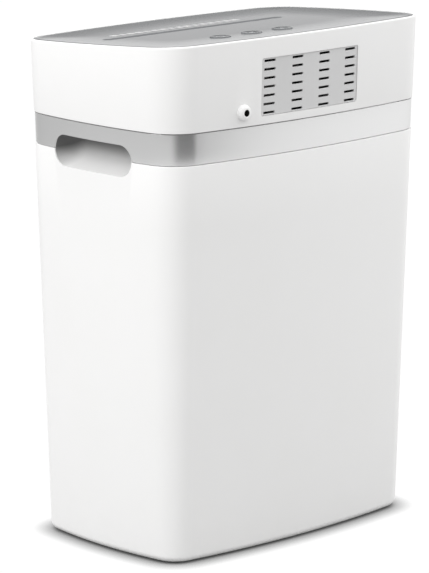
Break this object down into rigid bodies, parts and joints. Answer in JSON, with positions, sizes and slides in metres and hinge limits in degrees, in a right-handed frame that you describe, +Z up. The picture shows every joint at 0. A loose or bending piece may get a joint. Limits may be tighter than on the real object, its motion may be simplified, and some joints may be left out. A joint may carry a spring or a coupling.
{
  "type": "paper shredder",
  "caption": "Tall white paper shredder: lift-off head with slot, buttons, twin cutters, geared motor and rear vent, on a bin with finger grips.",
  "frame": {"origin": "centre of the body's bounding box, on the floor", "axes": "+Z up, X along the long side, +Y towards the front, -Y towards the vent and the cable gland"},
  "size_m": [0.348, 0.232, 0.4859],
  "materials": {
    "white_plastic": "satin",
    "grey_panel": "satin",
    "silver_trim": "silver paint",
    "grille_grey": "satin",
    "dark_plastic": "matt",
    "natural_plastic": "matt",
    "rubber": "matt",
    "plate_steel": "zinc plated",
    "cutter_steel": "hardened",
    "shaft_steel": "ground",
    "gear_steel": "sintered",
    "bronze": "sintered",
    "can_steel": "zinc plated",
    "magnet": "ferrite",
    "core_steel": "laminated",
    "copper": "turned",
    "board": "solder resist",
    "component": "satin"
  },
  "bodies": {
    "bin": {"bin": "white_plastic", "rubber_feet": "rubber", "interlock_key": "natural_plastic"},
    "head": {"head_cover": "white_plastic", "trim_band": "silver_trim", "control_panel": "grey_panel", "base_tray": "dark_plastic", "grip_cup_left": "white_plastic", "grip_cup_right": "white_plastic", "vent_grille": "grille_grey", "cable_gland": "white_plastic", "gland_nut": "natural_plastic", "case_screws": "shaft_steel", "button_board": "board", "tact_switches": "component", "feed_throat": "dark_plastic", "sensor_bracket": "dark_plastic", "left_side_plate": "plate_steel", "right_side_plate": "plate_steel", "tie_rods": "shaft_steel", "frame_screws": "shaft_steel", "shaft_bushes": "bronze", "front_comb": "dark_plastic", "rear_comb": "dark_plastic", "shaft_clips": "shaft_steel", "gear_studs": "shaft_steel", "stud_clips": "shaft_steel", "gear_cover": "dark_plastic", "motor_can": "can_steel", "motor_end_cap": "dark_plastic", "motor_magnets": "magnet", "motor_screws": "shaft_steel", "control_board": "board", "relays": "component", "capacitors": "component", "transformer": "component", "terminal_block": "component", "safety_switch": "dark_plastic"},
    "front_cutter": {"front_cutter_shaft": "shaft_steel", "front_cutter_discs": "cutter_steel", "front_timing_gear": "gear_steel"},
    "rear_cutter": {"rear_cutter_shaft": "shaft_steel", "rear_cutter_discs": "cutter_steel", "rear_timing_gear": "gear_steel", "drive_gear": "gear_steel"},
    "second_gear": {"second_gear": "natural_plastic"},
    "first_gear": {"first_gear": "natural_plastic"},
    "motor_rotor": {"motor_shaft": "shaft_steel", "motor_pinion": "bronze", "armature": "core_steel", "commutator": "copper", "cooling_fan": "natural_plastic"},
    "power_button": {"power_button": "grey_panel"},
    "reverse_button": {"reverse_button": "grey_panel"},
    "forward_button": {"forward_button": "grey_panel"},
    "paper_sensor_lever": {"paper_sensor_lever": "dark_plastic"},
    "switch_plunger": {"switch_plunger": "dark_plastic"}
  },
  "joints": [
    {"name": "head_lift", "type": "slide", "parent": "bin", "child": "head", "axis": [0, 0, 1], "range_m": [0, 0.1]},
    {"name": "front_cutter_spin", "type": "hinge", "parent": "head", "child": "front_cutter", "pos_m": [0, 0.0385, 0.422], "axis": [1, 0, 0], "continuous": true},
    {"name": "rear_cutter_spin", "type": "hinge", "parent": "head", "child": "rear_cutter", "pos_m": [0, 0.0045, 0.422], "axis": [1, 0, 0], "continuous": true},
    {"name": "second_gear_spin", "type": "hinge", "parent": "head", "child": "second_gear", "pos_m": [0, -0.02545, 0.44457], "axis": [1, 0, 0], "continuous": true},
    {"name": "first_gear_spin", "type": "hinge", "parent": "head", "child": "first_gear", "pos_m": [0, -0.03014, 0.41494], "axis": [1, 0, 0], "continuous": true},
    {"name": "motor_spin", "type": "hinge", "parent": "head", "child": "motor_rotor", "pos_m": [0, -0.05439, 0.42894], "axis": [1, 0, 0], "continuous": true},
    {"name": "power_button_press", "type": "slide", "parent": "head", "child": "power_button", "axis": [0, -0.0593, -0.9982], "range_m": [0, 0.0008], "stiffness_N_per_m": 700, "springref_m": -0.001},
    {"name": "reverse_button_press", "type": "slide", "parent": "head", "child": "reverse_button", "axis": [0, -0.0593, -0.9982], "range_m": [0, 0.0008], "stiffness_N_per_m": 700, "springref_m": -0.001},
    {"name": "forward_button_press", "type": "slide", "parent": "head", "child": "forward_button", "axis": [0, -0.0593, -0.9982], "range_m": [0, 0.0008], "stiffness_N_per_m": 700, "springref_m": -0.001},
    {"name": "paper_sensor_turn", "type": "hinge", "parent": "head", "child": "paper_sensor_lever", "pos_m": [-0.02, 0.0365, 0.46474], "axis": [1, 0, 0], "range_deg": [0, 25], "stiffness_Nm_per_rad": 0.004, "springref_deg": -11.46},
    {"name": "switch_plunger_press", "type": "slide", "parent": "head", "child": "switch_plunger", "axis": [0, 0, 1], "range_m": [0, 0.0008], "stiffness_N_per_m": 300, "springref_m": -0.001}
  ],
  "couplings": [
    {"joint": "rear_cutter_spin", "follows": "front_cutter_spin", "ratio": -1},
    {"joint": "second_gear_spin", "follows": "front_cutter_spin", "ratio": 4},
    {"joint": "first_gear_spin", "follows": "front_cutter_spin", "ratio": -16},
    {"joint": "motor_spin", "follows": "front_cutter_spin", "ratio": 96}
  ]
}
